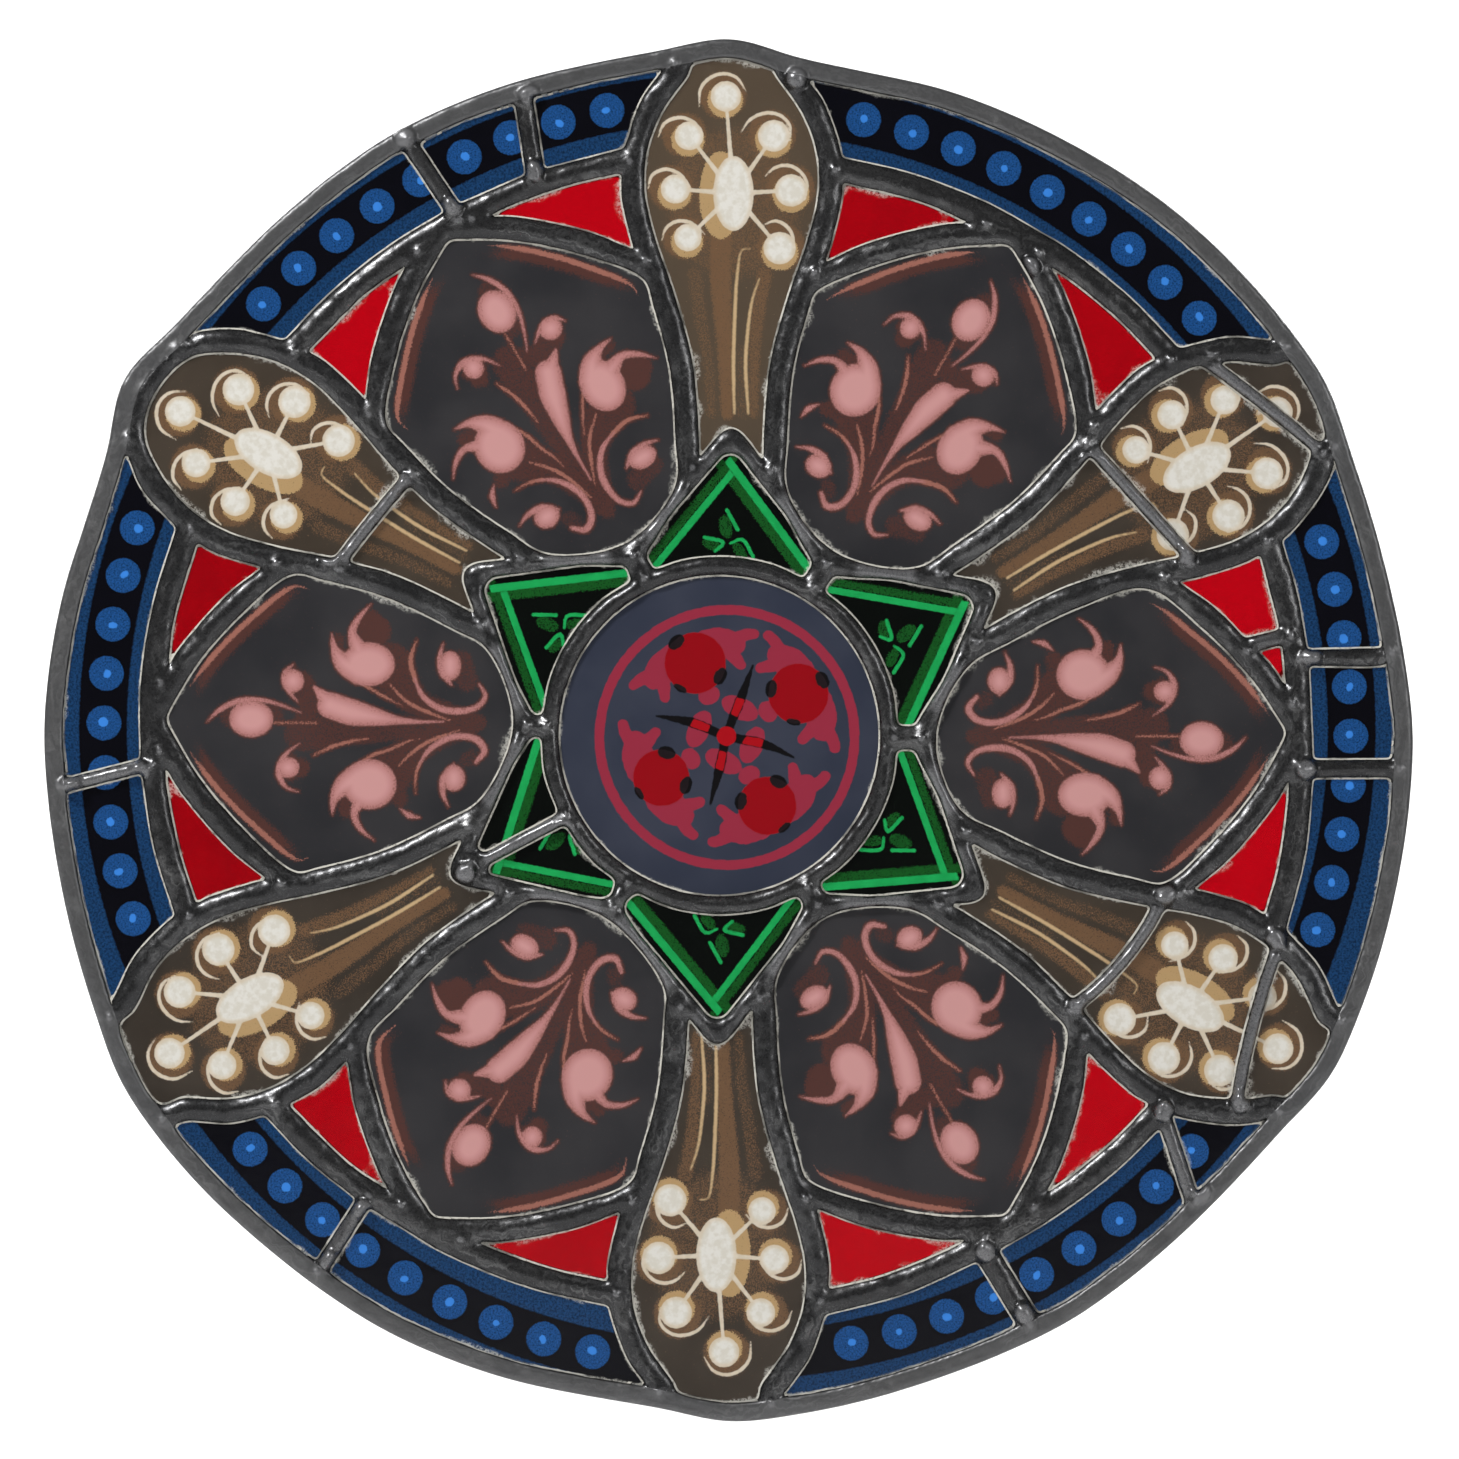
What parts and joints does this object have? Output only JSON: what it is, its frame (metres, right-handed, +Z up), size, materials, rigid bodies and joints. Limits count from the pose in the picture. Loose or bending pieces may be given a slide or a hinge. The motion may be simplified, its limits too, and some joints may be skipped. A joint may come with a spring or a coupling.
{
  "type": "stained glass roundel",
  "caption": "Round leaded stained glass panel: petals and pointed panes round a six-pointed star and disc, with a beaded blue border, for a round window opening.",
  "frame": {"origin": "on the flat back face of the rim came at the bottom, in the middle of its flange, where the panel rests against the back of its opening", "axes": "+Y out of the back of the panel; the panel stands upright in XZ with +Z up, and its front faces -Y"},
  "size_m": [0.4505, 0.0064, 0.4552],
  "materials": {
    "lead": "dull dark patina with brighter rubbed edges",
    "beaded_glass": "grey-brown painted glass, cream beads and tan shading",
    "foliage_glass": "matt dark paint on pink glass",
    "border_glass": "near-black paint on blue glass",
    "red_glass": "gloss, clear ruby",
    "green_glass": "black paint on green glass",
    "disc_glass": "matt slate paint, rose and ruby glass"
  },
  "bodies": {
    "root": {"petal_12": "beaded_glass", "petal_02_part1": "beaded_glass", "petal_02_part2": "beaded_glass", "petal_02_part3": "beaded_glass", "petal_04_part1": "beaded_glass", "petal_04_part2": "beaded_glass", "petal_04_part3": "beaded_glass", "petal_06": "beaded_glass", "petal_08": "beaded_glass", "petal_10_part1": "beaded_glass", "petal_10_part2": "beaded_glass", "pointed_pane_01": "foliage_glass", "pointed_pane_03": "foliage_glass", "pointed_pane_05": "foliage_glass", "pointed_pane_07": "foliage_glass", "pointed_pane_09": "foliage_glass", "pointed_pane_11": "foliage_glass", "border_01": "border_glass", "border_03_part1": "border_glass", "border_03_part2": "border_glass", "border_03_part3": "border_glass", "border_05_part1": "border_glass", "border_05_part2": "border_glass", "border_05_part3": "border_glass", "border_07_part1": "border_glass", "border_07_part2": "border_glass", "border_09_part1": "border_glass", "border_09_part2": "border_glass", "border_11_part1": "border_glass", "border_11_part2": "border_glass", "border_11_part3": "border_glass", "red_corner_01_left": "red_glass", "red_corner_01_right": "red_glass", "red_corner_03_left_inner": "red_glass", "red_corner_03_left_outer": "red_glass", "red_corner_03_right": "red_glass", "red_corner_05_left": "red_glass", "red_corner_05_right": "red_glass", "red_corner_07_left": "red_glass", "red_corner_07_right": "red_glass", "red_corner_09_left": "red_glass", "red_corner_09_right": "red_glass", "red_corner_11_left": "red_glass", "red_corner_11_right": "red_glass", "star_point_12": "green_glass", "star_point_02": "green_glass", "star_point_04": "green_glass", "star_point_06": "green_glass", "star_point_08_left": "green_glass", "star_point_08_right": "green_glass", "star_point_10": "green_glass", "centre_disc": "disc_glass", "lead_matrix": "lead", "rim_came": "lead"}
  },
  "joints": []
}
